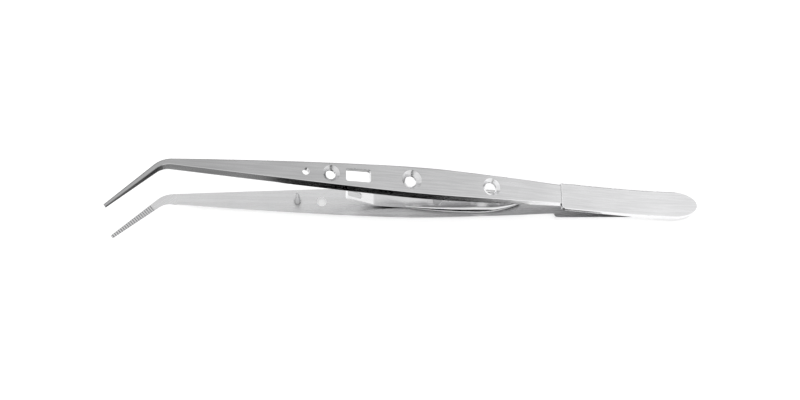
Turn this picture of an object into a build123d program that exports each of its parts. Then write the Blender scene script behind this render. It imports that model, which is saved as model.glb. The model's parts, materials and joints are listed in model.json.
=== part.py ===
from build123d import *
import os
from math import atan2, cos, degrees, radians, sin, tan

os.makedirs("parts", exist_ok=True)

# Locking college-type tissue forceps, in millimetres.
# The pieces are drawn about the closing plane, z = 0, in which the two arms are welded and meet.
# X runs from the beaks (minus) to the butt (plus), Y across the arms, Z from the lower arm to the upper.
# Reach means the distance forward from the weld front, measured along an arm's centre line.

# Handle: the two welded butts and the raised pads in front of them
butt_length = 17.4
butt_round_length = 6.5
handle_reach = 20.0
handle_half_width = 3.45
handle_offset = 0.5
handle_thickness = 1.35
handle_edge_radius = 0.4
handle_corner_radius = 0.9

# Arms: how far they stand open, and their outline from the handle to the bend
opening_angle = 8.8
bow_radius = 1270.0
grip_reach = 56.0
bend_reach = 116.5
waist_half_width = 2.9
grip_half_width = 4.1
bend_half_width = 1.35
swell_power = 1.35
waist_thickness = 1.0
grip_thickness = 1.8
bend_thickness = 1.9
waist_bevel = 0.5
grip_bevel = 0.8
bend_bevel = 0.72
edge_land = 0.35
edge_break = 0.1
station_spacing = 8.0

# Beaks: bent sideways in the plane of the arms, tapered and ribbed inside
beak_angle = 41.0
beak_bend_radius = 5.5
bend_steps = 4
beak_length = 14.3
beak_root_half_width = 0.95
beak_tip_half_width = 0.45
beak_root_thickness = 1.6
beak_tip_thickness = 0.7
beak_tip_bevel = 0.18
beak_tip_land = 0.2
beak_closing_drop = 0.65
beak_end_radius = 0.3
rib_pitch = 0.62
rib_depth = 0.13
rib_length = 12.4
rib_end_margin = 0.5

# Holes in the arms
front_hole_reach = 79.2
front_hole_radius = 1.22
front_sink_radius = 2.04
middle_hole_reach = 59.4
middle_hole_radius = 1.4
middle_sink_radius = 2.46
rear_hole_reach = 38.9
rear_hole_radius = 1.52
rear_sink_radius = 2.3
sink_angle = 90.0
window_reach = 72.6
window_length = 6.1
window_width = 3.2
window_corner_radius = 0.5

# Guide pin on the lower arm, which enters the pin hole of the upper arm
pin_reach = 85.3
pin_root_radius = 0.8
pin_tip_radius = 0.3
pin_height = 6.6
pin_tip_break = 0.15
pin_hole_clearance = 0.08

# Catch: a leaf-shaped spring riveted inside the lower arm, with a ramp that enters the window
catch_front_lead = 1.3
catch_ramp_length = 7.4
catch_strip_length = 8.5
catch_leaf_length = 29.2
catch_belly_length = 10.7
catch_rear_half_width = 0.5
catch_belly_half_width = 2.85
catch_strip_half_width = 1.5
catch_front_corner_radius = 0.4
catch_bend_radius = 2.0
catch_window_clearance = 0.2
catch_rear_thickness = 1.4
catch_belly_thickness = 2.0
catch_strip_thickness = 0.75
catch_belly_edge_radius = 1.2
catch_end_edge_radius = 0.3
catch_edge_flats = 3
catch_rear_steps = 4
catch_front_steps = 6
catch_lift_at_ramp = 1.6
catch_lift_at_front = 6.7
catch_slot_length = 3.7
catch_slot_width = 1.6
catch_slot_corner_radius = 0.5
catch_front_bar = 0.5

# Rivet through the catch and the lower arm
rivet_reach = 49.8
rivet_radius = 0.75
rivet_head_radius = 1.15
rivet_head_height = 0.3
rivet_head_break = 0.1
rivet_head_sink = 0.2
rivet_foot_recess = 0.1

# Rest flats: how deep the lower arm's heel and bow are lapped level to lie without rocking
rest_flat_depth = 0.05

# Clearances
seat_clearance = 0.03
rivet_clearance = 0.02
cut_margin = 1.0


def rise(reach):
    """Height of an arm's inner face above the closing plane, from the weld front to the bend."""
    if reach <= 0:
        return 0.0
    return reach * tan(radians(opening_angle)) - reach * reach / (2 * bow_radius)


def slope(reach):
    """Angle between an arm's inner face and the closing plane, in degrees."""
    return degrees(atan2(tan(radians(opening_angle)) - reach / bow_radius, 1))


def between(start, end, share, power=1.0):
    """Value that leaves start slowly and reaches end as share goes from 0 to 1."""
    return start + (end - start) * min(max(share, 0.0), 1.0) ** power


bend_length = radians(beak_angle) * beak_bend_radius
beak_reach = bend_reach + bend_length
tip_reach = beak_reach + beak_length
tip_height = rise(bend_reach) - beak_closing_drop
catch_front_reach = window_reach + catch_front_lead
catch_ramp_reach = catch_front_reach - catch_ramp_length
catch_shoulder_reach = catch_ramp_reach - catch_strip_length
catch_rear_reach = catch_shoulder_reach - catch_leaf_length
catch_belly_reach = catch_rear_reach + catch_belly_length


def centre(reach):
    """Plan position of an arm's centre line and its heading in degrees from -X towards -Y."""
    if reach <= bend_reach:
        return -reach, 0.0, 0.0
    if reach <= beak_reach:
        heading = degrees((reach - bend_reach) / beak_bend_radius)
    else:
        heading = beak_angle
    straight = max(reach - beak_reach, 0.0)
    turn = radians(heading)
    forward = beak_bend_radius * sin(turn) + straight * cos(turn)
    sideways = beak_bend_radius * (1 - cos(turn)) + straight * sin(turn)
    return -bend_reach - forward, -sideways, heading


def section_sizes(reach):
    """Half width, thickness, bevel and land of an arm's cross-section at a reach."""
    if reach <= grip_reach:
        share = (grip_reach - reach) / (grip_reach - handle_reach)
        return (
            between(grip_half_width, waist_half_width, share, swell_power),
            between(grip_thickness, waist_thickness, share, swell_power),
            between(grip_bevel, waist_bevel, share),
            edge_land,
        )
    if reach <= bend_reach:
        share = (reach - grip_reach) / (bend_reach - grip_reach)
        return (
            between(grip_half_width, bend_half_width, share, swell_power),
            between(grip_thickness, bend_thickness, share),
            between(grip_bevel, bend_bevel, share),
            edge_land,
        )
    if reach <= beak_reach:
        share = (reach - bend_reach) / bend_length
        return (
            between(bend_half_width, beak_root_half_width, share),
            between(bend_thickness, beak_root_thickness, share),
            between(bend_bevel, beak_root_half_width / 2, share),
            edge_land,
        )
    share = (reach - beak_reach) / beak_length
    return (
        between(beak_root_half_width, beak_tip_half_width, share),
        between(beak_root_thickness, beak_tip_thickness, share),
        between(beak_root_half_width / 2, beak_tip_bevel, share),
        between(edge_land, beak_tip_land, share),
    )


def inner_height(reach):
    """Height of the inner face over the whole arm, the beak included."""
    if reach <= bend_reach:
        return rise(reach)
    share = (reach - bend_reach) / (tip_reach - bend_reach)
    return between(rise(bend_reach), tip_height, share)


def section_plane(reach):
    """Upright plane across the arm, its origin in the middle of the inner face."""
    x, y, heading = centre(reach)
    turn = radians(heading)
    return Plane(
        origin=(x, y, inner_height(reach)),
        x_dir=(sin(turn), -cos(turn), 0),
        z_dir=(-cos(turn), -sin(turn), 0),
    )


def face_plane(reach, height):
    """Plane square to the arm at a reach, height above the inner face of the upper arm."""
    tilt = radians(slope(reach))
    return Plane(
        origin=(-reach + height * sin(tilt), 0, rise(reach) + height * cos(tilt)),
        x_dir=(-cos(tilt), 0, sin(tilt)),
        z_dir=(sin(tilt), 0, cos(tilt)),
    )


def mirrored(plane):
    """The same plane on the lower arm, looking out from its outer face."""
    origin, x_dir, z_dir = plane.origin, plane.x_dir, plane.z_dir
    return Plane(
        origin=(origin.X, origin.Y, -origin.Z),
        x_dir=(x_dir.X, x_dir.Y, -x_dir.Z),
        z_dir=(z_dir.X, z_dir.Y, -z_dir.Z),
    )


def evenly(start, end, steps):
    """Reaches from start to end in even steps, both ends included."""
    return [start + (end - start) * i / steps for i in range(steps + 1)]


def outer_plane(reach):
    """Plane on the upper arm's outer face, looking out."""
    return face_plane(reach, section_sizes(reach)[1] * cos(radians(slope(reach))))


def profile_plane(seat):
    """Plane through the axis of a pin or rivet in the lower arm, its Y pointing into the gap."""
    return Plane(origin=seat.origin, x_dir=seat.x_dir, z_dir=seat.x_dir.cross(seat.z_dir * -1))


arm_steps = round((bend_reach - handle_reach) / station_spacing)
arm_stations = evenly(handle_reach, bend_reach, arm_steps)
bend_stations = evenly(bend_reach, beak_reach, bend_steps)
beak_stations = [beak_reach, tip_reach]

# Arm blank: the shape that both arms are forged to, drawn as the upper arm
with BuildPart() as arm_blank:
    # Handle pad in plan, cut to its side profile
    with BuildSketch() as handle_plan:
        with BuildLine():
            straight_end = butt_length - butt_round_length
            far_edge = handle_half_width - handle_offset
            near_edge = -handle_half_width - handle_offset
            Polyline((straight_end, far_edge), (-handle_reach, far_edge), (-handle_reach, near_edge),
                     (straight_end, near_edge))
            EllipticalCenterArc((straight_end, -handle_offset), butt_round_length, handle_half_width,
                                start_angle=-90, arc_size=180)
        make_face()
        near_corner = handle_plan.vertices().group_by(Axis.X)[0].sort_by(Axis.Y)[0]
        fillet(near_corner, handle_corner_radius)
    extrude(amount=rise(handle_reach) + 2 * handle_thickness)
    handle_side_plane = Plane.XZ.offset(-2 * handle_half_width)
    with BuildSketch(handle_side_plane):
        with BuildLine():
            half_reach = handle_reach / 2
            front_height = rise(handle_reach)
            Line((butt_length, 0), (0, 0))
            ThreePointArc((0, 0), (-half_reach, rise(half_reach)), (-handle_reach, front_height))
            Line((-handle_reach, front_height), (-handle_reach, front_height + handle_thickness))
            Spline(
                (-handle_reach, front_height + handle_thickness),
                (-half_reach, rise(half_reach) + handle_thickness),
                (butt_length / 2, handle_thickness),
                tangents=[(cos(radians(slope(handle_reach))), -sin(radians(slope(handle_reach)))), (1, 0)],
            )
            Line((butt_length / 2, handle_thickness), (butt_length, handle_thickness))
            Line((butt_length, handle_thickness), (butt_length, 0))
        make_face()
    extrude(amount=4 * handle_half_width, mode=Mode.INTERSECT)
    pad_faces = arm_blank.faces().filter_by(lambda face: face.normal_at().Z > 0.5)
    pad_edges = pad_faces.edges().filter_by(lambda edge: len(set(edge.vertices())) == 2)
    shared = [edge for edge in pad_faces[0].edges() if edge in pad_faces[-1].edges()]
    fillet([edge for edge in pad_edges if edge not in shared], handle_edge_radius)

    # Spring and grip, bend, and beak, each lofted through its cross-sections
    for reaches in (arm_stations, bend_stations, beak_stations):
        for reach in reaches:
            half_width, thickness, bevel, land = section_sizes(reach)
            flank = atan2(thickness - land, bevel)
            with BuildSketch(section_plane(reach)):
                Polygon(
                    (-half_width, 0),
                    (half_width, 0),
                    (half_width, land),
                    (half_width - bevel + edge_break * cos(flank), thickness - edge_break * sin(flank)),
                    (half_width - bevel - edge_break, thickness),
                    (-half_width + bevel + edge_break, thickness),
                    (-half_width + bevel - edge_break * cos(flank), thickness - edge_break * sin(flank)),
                    (-half_width, land),
                    align=None,
                )
        loft()

    # Ribs across the beak's inner face, square to the beak
    root_x, root_y, heading = centre(beak_reach)
    turn = radians(heading)
    fall = (inner_height(tip_reach) - inner_height(beak_reach)) / beak_length
    rib_plane = Plane(
        origin=(root_x, root_y, inner_height(beak_reach)),
        x_dir=(-cos(turn), -sin(turn), fall),
        z_dir=(-sin(turn), cos(turn), 0),
    )
    rib_count = int(rib_length / rib_pitch)
    rib_places = [(beak_length - rib_end_margin - i * rib_pitch, 0) for i in range(rib_count)]
    with BuildSketch(rib_plane):
        with Locations(rib_places):
            Polygon(
                (-rib_pitch / 2, -rib_depth),
                (rib_pitch / 2, -rib_depth),
                (0, rib_depth),
                align=None,
            )
    extrude(amount=2 * beak_root_half_width, both=True, mode=Mode.SUBTRACT)

# Upper arm: pierced by three countersunk grip holes, the window of the catch and the pin hole
with BuildPart() as upper_arm:
    add(arm_blank.part)
    for reach, radius, sink_radius in (
        (front_hole_reach, front_hole_radius, front_sink_radius),
        (middle_hole_reach, middle_hole_radius, middle_sink_radius),
        (rear_hole_reach, rear_hole_radius, rear_sink_radius),
    ):
        with Locations(outer_plane(reach)):
            CounterSinkHole(radius, sink_radius, 2 * grip_thickness, sink_angle)
    with Locations(outer_plane(pin_reach)):
        Hole(pin_root_radius + pin_hole_clearance, 2 * grip_thickness)
    with BuildSketch(outer_plane(window_reach)) as window:
        Rectangle(window_length, window_width)
        fillet(window.vertices(), window_corner_radius)
    extrude(amount=2 * grip_thickness, both=True, mode=Mode.SUBTRACT)

# Laying down: the turn about Y that brings the butt and the bow of the lower arm to the floor together
heel_reach = butt_length - handle_edge_radius
rest_tilt = max(
    degrees(atan2(rise(reach) + section_sizes(reach)[1] - handle_thickness, reach + heel_reach))
    for reach in evenly(handle_reach, bend_reach, round(bend_reach - handle_reach))
)
tilted = Location((0, 0, 0), (0, rest_tilt, 0))

# Lower arm: the same blank turned over, with one grip hole and the seats of the pin and the rivet
pin_seat = mirrored(face_plane(pin_reach, 0))
rivet_seat = mirrored(face_plane(rivet_reach, 0))
with BuildPart() as lower_arm:
    mirror(arm_blank.part, about=Plane.XY)
    with Locations(mirrored(outer_plane(front_hole_reach))):
        CounterSinkHole(front_hole_radius, front_sink_radius, 2 * grip_thickness, sink_angle)
    with Locations(mirrored(outer_plane(pin_reach))):
        Hole(pin_root_radius + rivet_clearance, 2 * grip_thickness)
    with Locations(mirrored(outer_plane(rivet_reach))):
        Hole(rivet_radius + rivet_clearance, 2 * grip_thickness)
    rest_height = (tilted * lower_arm.part).bounding_box().min.Z + rest_flat_depth
    split(bisect_by=tilted.inverse() * Plane.XY.offset(rest_height), keep=Keep.TOP)

# Guide pin: a straight shank through the lower arm and a tapered point
pin_shank = section_sizes(pin_reach)[1] * cos(radians(slope(pin_reach)))
with BuildPart() as guide_pin:
    with BuildSketch(profile_plane(pin_seat)):
        Polygon(
            (0, -pin_shank),
            (pin_root_radius, -pin_shank),
            (pin_root_radius, 0),
            (pin_tip_radius, pin_height - pin_tip_break),
            (pin_tip_radius - pin_tip_break, pin_height),
            (0, pin_height),
            align=None,
        )
    revolve(axis=Axis(pin_seat.origin, pin_seat.z_dir * -1))


def catch_point(reach, lift=0.0):
    """Side-view point of the catch's underside, lift above its seat on the lower arm."""
    return (-reach, seat_clearance - rise(reach) + lift)


def offset_point(point, angle, distance):
    """Side-view point moved square to a line that climbs forward at an angle."""
    return (point[0] + distance * sin(radians(angle)), point[1] + distance * cos(radians(angle)))


# Top of the rivet, above its seat on the lower arm's inner face
rivet_top_height = catch_belly_thickness - rivet_head_sink
rivet_top = Plane(
    origin=rivet_seat.origin - rivet_seat.z_dir * rivet_top_height,
    x_dir=rivet_seat.x_dir,
    z_dir=rivet_seat.z_dir * -1,
)


def leaf_sizes(reach):
    """Half width, thickness and edge radius of the catch's leaf, which swells to its belly."""
    if reach <= catch_belly_reach:
        share = (catch_belly_reach - reach) / (catch_belly_reach - catch_rear_reach)
        end_half_width, end_thickness = catch_rear_half_width, catch_rear_thickness
    else:
        share = (reach - catch_belly_reach) / (catch_shoulder_reach - catch_belly_reach)
        end_half_width, end_thickness = catch_strip_half_width, catch_strip_thickness
    return (
        between(catch_belly_half_width, end_half_width, share, 2),
        between(catch_belly_thickness, end_thickness, share, 2),
        between(catch_belly_edge_radius, catch_end_edge_radius, share),
    )


def leaf_outline(reach):
    """Corners of the leaf's cross-section: a flat underside and top edges rounded in small flats."""
    half_width, thickness, edge_radius = leaf_sizes(reach)
    turns = [radians(90 * i / catch_edge_flats) for i in range(catch_edge_flats + 1)]
    edge = [
        (half_width - edge_radius * (1 - cos(turn)), thickness - edge_radius * (1 - sin(turn)))
        for turn in turns
    ]
    return [(-half_width, 0), (half_width, 0), *edge, *((-across, up) for across, up in reversed(edge))]


# Corners of the catch's strip and ramp in side view
shoulder_low = catch_point(catch_shoulder_reach)
ramp_low = catch_point(catch_ramp_reach, catch_lift_at_ramp)
front_low = catch_point(catch_front_reach, catch_lift_at_front)
strip_angle = degrees(atan2(ramp_low[1] - shoulder_low[1], shoulder_low[0] - ramp_low[0]))
ramp_angle = degrees(atan2(front_low[1] - ramp_low[1], ramp_low[0] - front_low[0]))
mitre_angle = (strip_angle + ramp_angle) / 2
mitre = catch_strip_thickness / cos(radians(ramp_angle - mitre_angle))
shoulder_top = catch_point(catch_shoulder_reach, catch_strip_thickness)
ramp_top = offset_point(ramp_low, mitre_angle, mitre)
front_top = offset_point(front_low, ramp_angle, catch_strip_thickness)
ramp_half_width = window_width / 2 - catch_window_clearance

# Catch: a strip with a slotted ramp at its front, and behind it a leaf that swells to a rounded belly
with BuildPart() as catch_spring:
    with BuildSketch(Plane.XY.offset(-rise(catch_front_reach))) as catch_plan:
        Polygon(
            (-catch_shoulder_reach, catch_strip_half_width),
            (-catch_ramp_reach, ramp_half_width),
            (-catch_front_reach, ramp_half_width),
            (-catch_front_reach, -ramp_half_width),
            (-catch_ramp_reach, -ramp_half_width),
            (-catch_shoulder_reach, -catch_strip_half_width),
            align=None,
        )
        fillet(catch_plan.vertices().group_by(Axis.X)[0], catch_front_corner_radius)
    extrude(amount=rise(catch_front_reach) + catch_lift_at_front)
    with BuildSketch(Plane.XZ.offset(-2 * catch_belly_half_width)) as catch_side:
        Polygon(shoulder_low, ramp_low, front_low, front_top, ramp_top, shoulder_top, align=None)
        fillet(catch_side.vertices().sort_by_distance((*ramp_top, 0))[0], catch_bend_radius)
        fillet(catch_side.vertices().sort_by_distance((*ramp_low, 0))[0],
               catch_bend_radius + catch_strip_thickness)
    extrude(amount=4 * catch_belly_half_width, mode=Mode.INTERSECT)
    rear_stations = evenly(catch_rear_reach, catch_belly_reach, catch_rear_steps)
    front_stations = evenly(catch_belly_reach, catch_shoulder_reach, catch_front_steps)
    for reach in rear_stations + front_stations[1:]:
        x, z = catch_point(reach)
        with BuildSketch(Plane(origin=(x, 0, z), x_dir=(0, -1, 0), z_dir=(-1, 0, 0))):
            Polygon(*leaf_outline(reach), align=None)
    loft()

    # Slot in the ramp, closed by the front bar
    slot_middle = catch_front_reach - catch_front_bar - catch_slot_length / 2
    with BuildSketch(Plane.XY.offset(-rise(catch_front_reach))) as catch_slot:
        with Locations((-slot_middle, 0)):
            Rectangle(catch_slot_length, catch_slot_width)
        fillet(catch_slot.vertices(), catch_slot_corner_radius)
    extrude(amount=rise(catch_front_reach) + catch_lift_at_front, mode=Mode.SUBTRACT)

    # Counterbore that takes the rivet's flush head
    with Locations(rivet_top):
        CounterBoreHole(rivet_radius + rivet_clearance, rivet_head_radius + rivet_clearance,
                        rivet_head_height + rivet_clearance, 2 * catch_belly_thickness)

# Rivet: a shank through the lower arm and the catch, with its head flush in the belly
with BuildPart() as catch_rivet:
    shank_foot = rivet_foot_recess - section_sizes(rivet_reach)[1] * cos(radians(slope(rivet_reach)))
    with BuildSketch(profile_plane(rivet_seat)) as rivet_profile:
        Polygon(
            (0, shank_foot),
            (rivet_radius, shank_foot),
            (rivet_radius, rivet_top_height - rivet_head_height),
            (rivet_head_radius, rivet_top_height - rivet_head_height),
            (rivet_head_radius, rivet_top_height - rivet_head_break),
            (rivet_head_radius - rivet_head_break, rivet_top_height),
            (0, rivet_top_height),
            align=None,
        )
    revolve(axis=Axis(rivet_seat.origin, rivet_seat.z_dir * -1))

# Laid down on the rest flats, with the origin under the middle of the whole
pieces = {
    "upper_arm": upper_arm,
    "lower_arm": lower_arm,
    "guide_pin": guide_pin,
    "catch_spring": catch_spring,
    "catch_rivet": catch_rivet,
}
extent = Compound([tilted * piece.part for piece in pieces.values()]).bounding_box()
lay_down = Location((-extent.center().X, -extent.center().Y, -extent.min.Z)) * tilted
for name, piece in pieces.items():
    piece.part = lay_down * piece.part
    piece.part.label = name
    export_step(piece.part, f"parts/{name}.step")
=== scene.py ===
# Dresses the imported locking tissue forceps: brushed steel, a pale floor, soft light and the photograph's view.
import json
import logging
import math
from dataclasses import dataclass, field
from enum import Enum
from typing import Any, Dict, List, Sequence, Tuple

import bmesh
import bpy
from mathutils import Matrix, Vector

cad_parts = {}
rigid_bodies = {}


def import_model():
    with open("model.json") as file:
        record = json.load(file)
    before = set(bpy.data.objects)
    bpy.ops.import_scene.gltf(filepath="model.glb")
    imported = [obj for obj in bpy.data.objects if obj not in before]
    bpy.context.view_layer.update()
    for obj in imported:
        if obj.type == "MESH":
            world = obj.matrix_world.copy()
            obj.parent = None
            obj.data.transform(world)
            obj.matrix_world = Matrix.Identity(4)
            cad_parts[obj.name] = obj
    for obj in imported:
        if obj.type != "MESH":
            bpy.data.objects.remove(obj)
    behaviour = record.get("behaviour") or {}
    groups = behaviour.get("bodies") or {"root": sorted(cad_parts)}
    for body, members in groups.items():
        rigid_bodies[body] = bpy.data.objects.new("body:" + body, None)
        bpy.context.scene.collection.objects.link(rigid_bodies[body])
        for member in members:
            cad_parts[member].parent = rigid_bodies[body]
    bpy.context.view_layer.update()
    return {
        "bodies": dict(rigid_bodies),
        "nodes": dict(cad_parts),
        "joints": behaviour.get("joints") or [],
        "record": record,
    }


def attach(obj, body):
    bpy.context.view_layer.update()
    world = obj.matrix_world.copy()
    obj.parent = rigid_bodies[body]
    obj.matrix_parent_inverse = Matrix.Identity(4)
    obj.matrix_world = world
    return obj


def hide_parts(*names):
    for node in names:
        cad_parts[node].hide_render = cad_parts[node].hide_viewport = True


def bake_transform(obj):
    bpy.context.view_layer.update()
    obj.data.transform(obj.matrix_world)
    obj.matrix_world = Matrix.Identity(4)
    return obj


LOG = logging.getLogger("forceps_scene")
Pair = Tuple[float, float]
Triple = Tuple[float, float, float]
MM = 0.001


class Body(Enum):
    """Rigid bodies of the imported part."""

    LOWER = "lower"
    UPPER = "upper"


class Node(Enum):
    """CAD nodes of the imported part."""

    UPPER_ARM = "upper_arm"
    LOWER_ARM = "lower_arm"
    GUIDE_PIN = "guide_pin"
    CATCH = "catch_spring"
    RIVET = "catch_rivet"


class Slot(Enum):
    """Material slots of the record."""

    ARM = "arm_steel"
    CATCH = "catch_steel"


@dataclass
class NodeTree:
    """Small helper that adds and links shader nodes.

    Args:
        tree: Node tree that the helper fills.
    """

    tree: bpy.types.NodeTree

    def add(self, kind: str, **values: Any) -> bpy.types.Node:
        """Adds a node and sets its properties and unlinked inputs.

        Args:
            kind: Blender's name of the node type.
            values: Property names, or input names with underscores for spaces.

        Returns:
            The new node.
        """
        node = self.tree.nodes.new(kind)
        for name, value in values.items():
            if hasattr(node, name):
                setattr(node, name, value)
            else:
                node.inputs[name.replace("_", " ")].default_value = value
        return node

    def link(self, source: bpy.types.NodeSocket, target: bpy.types.NodeSocket) -> None:
        """Links an output to an input."""
        self.tree.links.new(source, target)

    def feed(self, value: Any, target: bpy.types.NodeSocket) -> None:
        """Links a socket to an input, or sets the input where the value is a number.

        Args:
            value: Socket or number.
            target: Input socket.
        """
        if isinstance(value, bpy.types.NodeSocket):
            self.link(value, target)
        else:
            target.default_value = value

    def math(self, operation: str, first: Any, second: Any = 0.0) -> bpy.types.NodeSocket:
        """Adds a math node.

        Args:
            operation: Blender's name of the operation.
            first: Socket or number.
            second: Socket or number.

        Returns:
            The node's output.
        """
        node = self.add("ShaderNodeMath", operation=operation)
        self.feed(first, node.inputs[0])
        self.feed(second, node.inputs[1])
        return node.outputs[0]

    def spread(self, value: bpy.types.NodeSocket, source: Pair, low: Any, high: Any) -> bpy.types.NodeSocket:
        """Maps a range of a value to another range and holds it at the ends.

        Args:
            value: Socket that is mapped.
            source: Values that map to low and high.
            low: Socket or number.
            high: Socket or number.

        Returns:
            The mapped value.
        """
        node = self.add("ShaderNodeMapRange")
        self.feed(source[0], node.inputs["From Min"])
        self.feed(source[1], node.inputs["From Max"])
        self.feed(low, node.inputs["To Min"])
        self.feed(high, node.inputs["To Max"])
        self.link(value, node.inputs["Value"])
        return node.outputs[0]

    def seen_by_eye_or_steel(self) -> bpy.types.NodeSocket:
        """Adds a switch that is 1 for camera, glossy and transmission rays.

        Returns:
            The switch.
        """
        path = self.add("ShaderNodeLightPath")
        seen = self.math("ADD", path.outputs["Is Camera Ray"], path.outputs["Is Glossy Ray"])
        seen = self.math("ADD", seen, path.outputs["Is Transmission Ray"])
        return self.math("MINIMUM", seen, 1.0)


def empty_material(name: str) -> Tuple[bpy.types.Material, NodeTree]:
    """Makes a material without nodes.

    Args:
        name: Material name.

    Returns:
        The material and its node helper.
    """
    material = bpy.data.materials.new(name)
    material.use_nodes = True
    material.node_tree.nodes.clear()
    return material, NodeTree(material.node_tree)


@dataclass(frozen=True)
class BrushedSteel:
    """Satin steel with a fine grain along the piece, painted shade in crevices, painted highlights on rims, and
    painted light and shade along the piece.

    Args:
        name: Material name.
        color: Base colour, linear.
        roughness: Middle roughness.
        grain_tilt: Turn of the grain about Y, in degrees.
        grain_strength: Share by which the grain changes the base colour.
        bump: Height of the grain in metres.
        painted_front_light: Share of the colour that is left at the beaks; below 1 it is painted shade.
        painted_butt_light: Share of the colour at the butt; above 1 it is painted light, below 1 painted shade.
        beak_turn: Turn of the grain in the beak, in degrees, 0 where there is no beak.
        beak_edge: X at which the beak begins.
        painted_shade_reach: How near another face must be for painted shade to darken the steel.
        painted_crevice_shade: Share of the colour that is left in the deepest crevices, as painted shade.
        painted_rim_light: Share of the colour on bevels, rims and countersinks, as a painted highlight.
        painted_beak_rim_light: The same on the flanks of the beak's ribs, where below 1 it is painted shade.
        brightest: Highest value of the base colour.
        front_stretch: X from which and to which the painted shade at the beaks fades out.
        butt_stretch: X from which and to which the painted light and shade at the butt comes in.
        grain_scale: Streaks to the metre along, across and through the piece.
        grain_span: Values of the grain that count as darkest and lightest.
        grain_detail: Detail of the grain.
        cloud_scale: Soft clouds to the metre.
        cloud_span: Values of the clouds that count as darkest and lightest.
        cloud_strength: Share by which the clouds change the base colour.
        cloud_detail: Detail of the clouds.
        roughness_span: How far the grain takes the roughness down and up.
        painted_shade_span: Openness that counts as deepest painted shade and as free.
        crevice_samples: Rays that measure the openness.
        rim_span: Upward share of the normal that counts as rim and as face.
    """

    name: str
    color: Triple
    roughness: float
    grain_tilt: float = 0.0
    grain_strength: float = 0.08
    bump: float = 1e-6
    painted_front_light: float = 1.0
    painted_butt_light: float = 1.0
    beak_turn: float = 0.0
    beak_edge: float = -59.0 * MM
    painted_shade_reach: float = 0.7 * MM
    painted_crevice_shade: float = 0.12
    painted_rim_light: float = 1.45
    painted_beak_rim_light: float = 0.8
    brightest: float = 0.88
    front_stretch: Pair = (-50.0 * MM, 0.0)
    butt_stretch: Pair = (5.0 * MM, 60.0 * MM)
    grain_scale: Triple = (22.0, 2000.0, 250.0)
    grain_span: Pair = (0.25, 0.75)
    grain_detail: float = 2.0
    cloud_scale: float = 90.0
    cloud_span: Pair = (0.3, 0.7)
    cloud_strength: float = 0.04
    cloud_detail: float = 3.0
    roughness_span: Pair = (-0.06, 0.08)
    painted_shade_span: Pair = (0.3, 0.8)
    crevice_samples: int = 6
    rim_span: Pair = (0.8, 0.95)

    def grain(self, nodes: NodeTree, spot: bpy.types.NodeSocket, in_beak: bpy.types.NodeSocket) -> Any:
        """Adds the lengthwise grain, which turns with the beak.

        Args:
            nodes: Helper of the material.
            spot: Object coordinates.
            in_beak: Switch that is 1 in the beak.

        Returns:
            The grain's value.
        """
        along = nodes.add("ShaderNodeMapping")
        along.inputs["Rotation"].default_value = (0.0, math.radians(-self.grain_tilt), 0.0)
        nodes.link(spot, along.inputs["Vector"])
        turned = nodes.add("ShaderNodeMapping")
        turned.inputs["Rotation"].default_value = (0.0, 0.0, math.radians(-self.beak_turn))
        nodes.link(along.outputs[0], turned.inputs["Vector"])
        chosen = nodes.add("ShaderNodeMix", data_type="VECTOR")
        nodes.link(in_beak, chosen.inputs[0])
        nodes.link(along.outputs[0], chosen.inputs[4])
        nodes.link(turned.outputs[0], chosen.inputs[5])
        stretched = nodes.add("ShaderNodeMapping")
        stretched.inputs["Scale"].default_value = self.grain_scale
        nodes.link(chosen.outputs[1], stretched.inputs["Vector"])
        grain = nodes.add("ShaderNodeTexNoise", Scale=1.0, Detail=self.grain_detail, Roughness=0.5)
        nodes.link(stretched.outputs[0], grain.inputs["Vector"])
        return grain.outputs["Fac"]

    def surface_tone(self, nodes: NodeTree, spot: bpy.types.NodeSocket, x: bpy.types.NodeSocket,
                     grain: bpy.types.NodeSocket) -> bpy.types.NodeSocket:
        """Adds the tone that grain, clouds and the painted light and shade along the piece give.

        Args:
            nodes: Helper of the material.
            spot: Object coordinates.
            x: Their X.
            grain: The grain's value.

        Returns:
            Share of the base colour.
        """
        clouds = nodes.add("ShaderNodeTexNoise", Scale=self.cloud_scale, Detail=self.cloud_detail, Roughness=0.5)
        nodes.link(spot, clouds.inputs["Vector"])
        streaks = nodes.spread(grain, self.grain_span, 1.0 - self.grain_strength, 1.0 + self.grain_strength)
        cloudy = nodes.spread(clouds.outputs["Fac"], self.cloud_span, 1.0 - self.cloud_strength,
                              1.0 + self.cloud_strength)
        tone = nodes.math("MULTIPLY", streaks, cloudy)
        # Painted light and shade: the colour fades towards the beaks and changes by a set share towards the
        # butt.
        tone = nodes.math("MULTIPLY", tone, nodes.spread(x, self.front_stretch, self.painted_front_light, 1.0))
        return nodes.math("MULTIPLY", tone, nodes.spread(x, self.butt_stretch, 1.0, self.painted_butt_light))

    def paint_shade_and_rim_light(self, nodes: NodeTree, tone: bpy.types.NodeSocket,
                  in_beak: bpy.types.NodeSocket) -> bpy.types.NodeSocket:
        """Paints shade into crevices and paints highlights on bevels, rims and countersinks.

        Args:
            nodes: Helper of the material.
            tone: Share of the base colour so far.
            in_beak: Switch that is 1 in the beak.

        Returns:
            The changed share.
        """
        # Painted shade: ambient occlusion darkens the base colour in crevices, holes, rib valleys and where
        # parts touch.
        openness = nodes.add("ShaderNodeAmbientOcclusion", samples=self.crevice_samples)
        openness.inputs["Distance"].default_value = self.painted_shade_reach
        crevice_shade = nodes.spread(openness.outputs["AO"], self.painted_shade_span, self.painted_crevice_shade, 1.0)
        tone = nodes.math("MULTIPLY", tone, crevice_shade)
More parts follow.
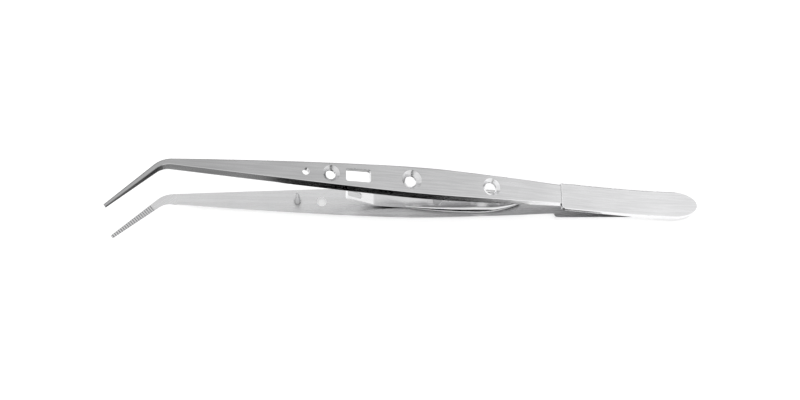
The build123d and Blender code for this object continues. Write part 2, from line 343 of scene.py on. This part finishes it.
        # Painted highlight: faces that face neither up nor down, such as bevels, rims and countersinks, get a
        # lighter base colour; on the beak's rib flanks the share is below 1 and paints shade.
        facing = nodes.add("ShaderNodeSeparateXYZ")
        nodes.link(nodes.add("ShaderNodeNewGeometry").outputs["Normal"], facing.inputs[0])
        less_in_beak = nodes.math("MULTIPLY", in_beak, self.painted_rim_light - self.painted_beak_rim_light)
        rim = nodes.math("SUBTRACT", self.painted_rim_light, less_in_beak)
        upward = nodes.math("ABSOLUTE", facing.outputs["Z"])
        tone = nodes.math("MULTIPLY", tone, nodes.spread(upward, self.rim_span, rim, 1.0))
        return nodes.math("MINIMUM", tone, self.brightest / max(self.color))

    def build(self) -> bpy.types.Material:
        """Builds the material.

        Returns:
            The new material.
        """
        material, nodes = empty_material(self.name)
        output = nodes.add("ShaderNodeOutputMaterial")
        shader = nodes.add("ShaderNodeBsdfPrincipled", Metallic=1.0)
        nodes.link(shader.outputs["BSDF"], output.inputs["Surface"])
        spot = nodes.add("ShaderNodeTexCoord").outputs["Object"]
        place = nodes.add("ShaderNodeSeparateXYZ")
        nodes.link(spot, place.inputs[0])
        in_beak = nodes.math("LESS_THAN", place.outputs["X"], self.beak_edge)
        grain = self.grain(nodes, spot, in_beak)

        tone = self.surface_tone(nodes, spot, place.outputs["X"], grain)
        tone = self.paint_shade_and_rim_light(nodes, tone, in_beak)
        tinted = nodes.add("ShaderNodeVectorMath", operation="SCALE")
        tinted.inputs[0].default_value = self.color
        nodes.link(tone, tinted.inputs["Scale"])
        nodes.link(tinted.outputs[0], shader.inputs["Base Color"])

        smoothest, roughest = (self.roughness + change for change in self.roughness_span)
        nodes.link(nodes.spread(grain, self.grain_span, smoothest, roughest), shader.inputs["Roughness"])
        relief = nodes.add("ShaderNodeBump", Strength=1.0, Distance=self.bump)
        nodes.link(grain, relief.inputs["Height"])
        nodes.link(relief.outputs[0], shader.inputs["Normal"])
        return material


@dataclass(frozen=True)
class PaleFloor:
    """Matt white that also glows a little for the eye and in steel.

    Args:
        name: Material name.
        white: Base value.
        glow: Strength of the glow.
    """

    name: str = "floor_white"
    white: float = 0.86
    glow: float = 0.45

    def build(self) -> bpy.types.Material:
        """Builds the material.

        Returns:
            The new material.
        """
        material, nodes = empty_material(self.name)
        output = nodes.add("ShaderNodeOutputMaterial")
        matt = nodes.add("ShaderNodeBsdfDiffuse", Color=(self.white, self.white, self.white, 1))
        glow = nodes.add("ShaderNodeEmission", Color=(1, 1, 1, 1), Strength=self.glow)
        dark = nodes.add("ShaderNodeEmission", Color=(0, 0, 0, 1), Strength=0.0)
        mix = nodes.add("ShaderNodeMixShader")
        nodes.link(nodes.seen_by_eye_or_steel(), mix.inputs[0])
        nodes.link(dark.outputs[0], mix.inputs[1])
        nodes.link(glow.outputs[0], mix.inputs[2])
        total = nodes.add("ShaderNodeAddShader")
        nodes.link(matt.outputs[0], total.inputs[0])
        nodes.link(mix.outputs[0], total.inputs[1])
        nodes.link(total.outputs[0], output.inputs[0])
        return material


@dataclass(frozen=True)
class CardGrey:
    """Even grey of a card that is mirrored in the steel.

    Args:
        name: Material name.
        grey: How light the card is.
    """

    name: str
    grey: float

    def build(self) -> bpy.types.Material:
        """Builds the material.

        Returns:
            The new material.
        """
        material, nodes = empty_material(self.name)
        output = nodes.add("ShaderNodeOutputMaterial")
        glow = nodes.add("ShaderNodeEmission", Color=(self.grey, self.grey, self.grey, 1), Strength=1.0)
        nodes.link(glow.outputs[0], output.inputs[0])
        return material


@dataclass
class SmoothCopy:
    """Copy of a CAD node, welded and shaded smooth between its creases.

    Args:
        node: CAD node that the copy stands for.
        name: Name of the copy.
        material: Steel of the copy.
        crease: Angle above which an edge stays sharp, in degrees.
        weld: Distance under which corners are joined.
    """

    node: bpy.types.Object
    name: str
    material: bpy.types.Material
    crease: float = 38.0
    weld: float = 1e-6

    def cut(self, mesh: bmesh.types.BMesh) -> None:
        """Leaves the welded mesh whole."""

    def build(self) -> bpy.types.Object:
        """Builds the copy.

        Returns:
            The new object.
        """
        mesh = self.node.data.copy()
        mesh.name = self.name
        piece = bpy.data.objects.new(self.name, mesh)
        bpy.context.scene.collection.objects.link(piece)
        welded = bmesh.new()
        welded.from_mesh(mesh)
        bmesh.ops.remove_doubles(welded, verts=welded.verts, dist=self.weld)
        self.cut(welded)
        welded.to_mesh(mesh)
        welded.free()
        self.shade(mesh)
        mesh.materials.clear()
        mesh.materials.append(self.material)
        return piece

    def shade(self, mesh: bpy.types.Mesh) -> None:
        """Shades the mesh smooth, with sharp edges at its creases.

        Args:
            mesh: Mesh of the copy.
        """
        old_normals = mesh.attributes.get("custom_normal")
        if old_normals is not None:
            mesh.attributes.remove(old_normals)
        mesh.polygons.foreach_set("use_smooth", [True] * len(mesh.polygons))
        mesh.set_sharp_from_angle(angle=math.radians(self.crease))


@dataclass
class RoundedCatch(SmoothCopy):
    """The catch, whose edges of small flats are shaded round."""


@dataclass
class SprungArm(SmoothCopy):
    """The upper arm, cut into short lengths.

    Args:
        crease: Angle above which an edge stays sharp, in degrees.
        step: Length of a slice.
        stretch: Lowest and highest X of the sliced stretch.
        cut_weld: Distance under which a cut runs through a corner that is there.
    """

    crease: float = 20.0
    step: float = 1.5 * MM
    stretch: Pair = (-20.0 * MM, 75.0 * MM)
    cut_weld: float = 1e-7

    def cut(self, mesh: bmesh.types.BMesh) -> None:
        """Cuts the arm across at every step of its sprung stretch.

        Args:
            mesh: Welded mesh of the copy.
        """
        place, end = self.stretch
        while place < end:
            geometry = list(mesh.verts) + list(mesh.edges) + list(mesh.faces)
            bmesh.ops.bisect_plane(mesh, geom=geometry, dist=self.cut_weld, plane_co=(place, 0, 0),
                                   plane_no=(1, 0, 0))
            place += self.step


@dataclass
class Forceps:
    """The dressed forceps.

    Args:
        spring_length: How far from the weld the bend of the upper arm reaches; not used.
        beak_turn: Turn of the beaks in the plane of the arms, in degrees.
        arm_tilt: Climb of the upper arm from the butt to the beaks, in degrees.
        pieces: Copies that stand for CAD nodes.
    """

    frame: Dict[str, Any]
    spring_length: float = 60.0 * MM
    beak_turn: float = 41.0
    arm_tilt: float = -12.0
    pieces: List[bpy.types.Object] = field(default_factory=list)

    def finishes(self) -> Dict[Node, bpy.types.Material]:
        """Builds the steels.

        Returns:
            The steel of every node.
        """
        # Painted light and shade: the two arms are one steel, yet the upper arm's colour is set darker than the
        # lower arm's, with painted shade at its beaks and painted light at its butt; the lower arm gets painted
        # shade at its butt, and the catch deeper painted shade in its crevices.
        upper_steel = BrushedSteel("upper_arm_steel", (0.54, 0.54, 0.545), 0.22, grain_tilt=self.arm_tilt,
                                   painted_front_light=0.72, painted_butt_light=1.42, beak_turn=self.beak_turn)
        lower_steel = BrushedSteel("lower_arm_steel", (0.63, 0.63, 0.635), 0.25, painted_butt_light=0.9,
                                   beak_turn=self.beak_turn, painted_shade_reach=1.3 * MM)
        catch_steel = BrushedSteel("catch_steel", (0.66, 0.66, 0.665), 0.2, grain_strength=0.03, bump=2e-7,
                                   painted_shade_reach=1.6 * MM, painted_crevice_shade=0.05)
        pin_steel = BrushedSteel("pin_steel", (0.5, 0.5, 0.505), 0.3, grain_strength=0.05)
        turned = pin_steel.build()
        return {
            Node.LOWER_ARM: lower_steel.build(),
            Node.GUIDE_PIN: turned,
            Node.CATCH: catch_steel.build(),
            Node.RIVET: turned,
            Node.UPPER_ARM: upper_steel.build(),
        }

    def dress(self) -> None:
        """Gives every node its steel, and puts copies in the place of the upper arm and the catch."""
        nodes = self.frame["nodes"]
        steels = self.finishes()
        for node, steel in steels.items():
            part = nodes[node.value]
            part.data.materials.clear()
            part.data.materials.append(steel)
            LOG.info("node %s: %s", node.value, steel.name)

        arm = SprungArm(nodes[Node.UPPER_ARM.value], "upper_arm_sprung", steels[Node.UPPER_ARM]).build()
        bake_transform(arm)
        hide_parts(Node.UPPER_ARM.value)

        catch = RoundedCatch(nodes[Node.CATCH.value], "catch_rounded", steels[Node.CATCH]).build()
        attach(catch, Body.LOWER.value)
        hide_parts(Node.CATCH.value)
        self.pieces += [arm, catch]

    def report(self) -> None:
        """Logs every copy with its number of faces."""
        for piece in self.pieces:
            LOG.info("piece %s: %d faces", piece.name, len(piece.data.polygons))


def flat_sheet(name: str, corners: Sequence[Triple], material: bpy.types.Material) -> bpy.types.Object:
    """Makes a flat sheet with four corners.

    Args:
        name: Name of the sheet.
        corners: Its corners in order.
        material: What it is made of.

    Returns:
        The sheet.
    """
    mesh = bpy.data.meshes.new(name)
    mesh.from_pydata(list(corners), [], [(0, 1, 2, 3)])
    sheet = bpy.data.objects.new(name, mesh)
    bpy.context.scene.collection.objects.link(sheet)
    mesh.materials.append(material)
    return sheet


@dataclass(frozen=True)
class NearCard:
    """Dark card in front of a stretch of the arms, lying on the floor and standing up at its far end.

    Args:
        name: Name of the card.
        left: Lowest X.
        right: Highest X.
        near: Y at which it begins.
        grey: How light it is.
    """

    name: str
    left: float
    right: float
    near: float
    grey: float


@dataclass
class Studio:
    """Pale floor, white surround and the cards that are mirrored in the steel.

    Args:
        floor_size: Half width of the floor.
        floor_drop: How far the floor lies under the part.
        ambient: Strength of the surround's light on matt surfaces.
        near_cards: Cards in front of the arms.
        card_far: Y at which the near cards stand up.
        card_lift: Height of their lying part.
        card_top: Height of every standing card.
        card_behind: Y of the card behind the arms.
        card_end: Distance of the card beyond the beaks, and half width of the outer cards.
        outer_grey: How light the outer cards are.
    """

    floor_size: float = 3.0
    floor_drop: float = 0.02 * MM
    ambient: float = 0.9
    near_cards: Tuple[NearCard, ...] = (
        NearCard("flag_beaks", -90.0 * MM, -34.0 * MM, -14.0 * MM, 0.35),
        NearCard("flag_middle", -34.0 * MM, 34.0 * MM, -3.0 * MM, 0.0),
        NearCard("flag_grip", 34.0 * MM, 50.0 * MM, -3.0 * MM, 0.12),
    )
    card_far: float = -120.0 * MM
    card_lift: float = 0.01 * MM
    card_top: float = 75.0 * MM
    card_behind: float = 120.0 * MM
    card_end: float = 200.0 * MM
    outer_grey: float = 0.3

    def surround(self) -> None:
        """Makes a world that the camera, metal and glass see as white."""
        world = bpy.data.worlds.new("studio")
        bpy.context.scene.world = world
        world.use_nodes = True
        world.node_tree.nodes.clear()
        nodes = NodeTree(world.node_tree)
        output = nodes.add("ShaderNodeOutputWorld")
        light = nodes.add("ShaderNodeBackground", Color=(1, 1, 1, 1), Strength=self.ambient)
        white = nodes.add("ShaderNodeBackground", Color=(1, 1, 1, 1), Strength=1.0)
        mix = nodes.add("ShaderNodeMixShader")
        nodes.link(nodes.seen_by_eye_or_steel(), mix.inputs[0])
        nodes.link(light.outputs[0], mix.inputs[1])
        nodes.link(white.outputs[0], mix.inputs[2])
        nodes.link(mix.outputs[0], output.inputs[0])

    def floor(self) -> None:
        """Makes the floor."""
        size = self.floor_size
        corners = [(-size, -size, 0), (size, -size, 0), (size, size, 0), (-size, size, 0)]
        floor = flat_sheet("floor", corners, PaleFloor().build())
        floor.location.z = -self.floor_drop

    def card(self, name: str, corners: Sequence[Triple], grey: float) -> None:
        """Makes a card that only the steel sees.

        Args:
            name: Name of the card.
            corners: Four corners.
            grey: How light the card is.
        """
        card = flat_sheet(name, corners, CardGrey(name, grey).build())
        card.visible_camera = False
        card.visible_diffuse = False
        card.visible_shadow = False

    def cards(self) -> None:
        """Makes the near cards and the two outer ones."""
        far, lift, top = self.card_far, self.card_lift, self.card_top
        for near_card in self.near_cards:
            left, right, near = near_card.left, near_card.right, near_card.near
            lying = [(left, far, lift), (right, far, lift), (right, near, lift), (left, near, lift)]
            standing = [(left, far, lift), (right, far, lift), (right, far, top), (left, far, top)]
            self.card(near_card.name, lying, near_card.grey)
            self.card(near_card.name + "_back", standing, near_card.grey)
        behind, end = self.card_behind, self.card_end
        behind_card = [(-end, behind, 0), (end, behind, 0), (end, behind, top), (-end, behind, top)]
        end_card = [(-end, -end, 0), (-end, end, 0), (-end, end, top), (-end, -end, top)]
        self.card("flag_behind", behind_card, self.outer_grey)
        self.card("flag_end", end_card, self.outer_grey)

    def build(self) -> None:
        """Makes the whole studio."""
        self.surround()
        self.floor()
        self.cards()
        LOG.info("studio: floor and %d near cards", len(self.near_cards))


@dataclass
class PhotoCamera:
    """Camera that stands where the photograph was taken from.

    Args:
        target: Point that it looks at.
        distance: From the target.
        azimuth: Turn about Z, 0 looking along +Y, in degrees.
        elevation: Height over the horizon, in degrees.
        roll: Turn about its own line of sight, in degrees.
        lens: Focal length in millimetres.
        sensor: Width of the sensor in millimetres.
        clip: Nearest and farthest distance that it sees.
    """

    target: Triple = (-3.07 * MM, 1.43 * MM, 9.69 * MM)
    distance: float = 291.5 * MM
    azimuth: float = 9.93
    elevation: float = 70.93
    roll: float = 9.81
    lens: float = 52.65
    sensor: float = 36.0
    clip: Pair = (0.01, 20.0)

    def build(self) -> None:
        """Makes the camera and hands it to the scene."""
        azimuth = math.radians(self.azimuth)
        elevation = math.radians(self.elevation)
        roll = math.radians(self.roll)
        ahead = Vector((
            math.sin(azimuth) * math.cos(elevation),
            math.cos(azimuth) * math.cos(elevation),
            -math.sin(elevation),
        ))
        level = Vector((math.cos(azimuth), -math.sin(azimuth), 0.0))
        above = level.cross(ahead)
        right = level * math.cos(roll) + above * math.sin(roll)
        up = right.cross(ahead)
        data = bpy.data.cameras.new("photo_camera")
        data.sensor_width = self.sensor
        data.lens = self.lens
        data.clip_start, data.clip_end = self.clip
        camera = bpy.data.objects.new("photo_camera", data)
        bpy.context.scene.collection.objects.link(camera)
        turn = Matrix((right, up, -ahead)).transposed().to_4x4()
        camera.matrix_world = Matrix.Translation(Vector(self.target) - ahead * self.distance) @ turn
        bpy.context.scene.camera = camera


def main() -> None:
    """Builds the scene."""
    logging.basicConfig(level=logging.INFO)
    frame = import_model()
    bpy.context.scene.view_settings.view_transform = "Standard"
    forceps = Forceps(frame)
    forceps.dress()
    forceps.report()
    Studio().build()
    PhotoCamera().build()


if __name__ == "__main__":
    main()
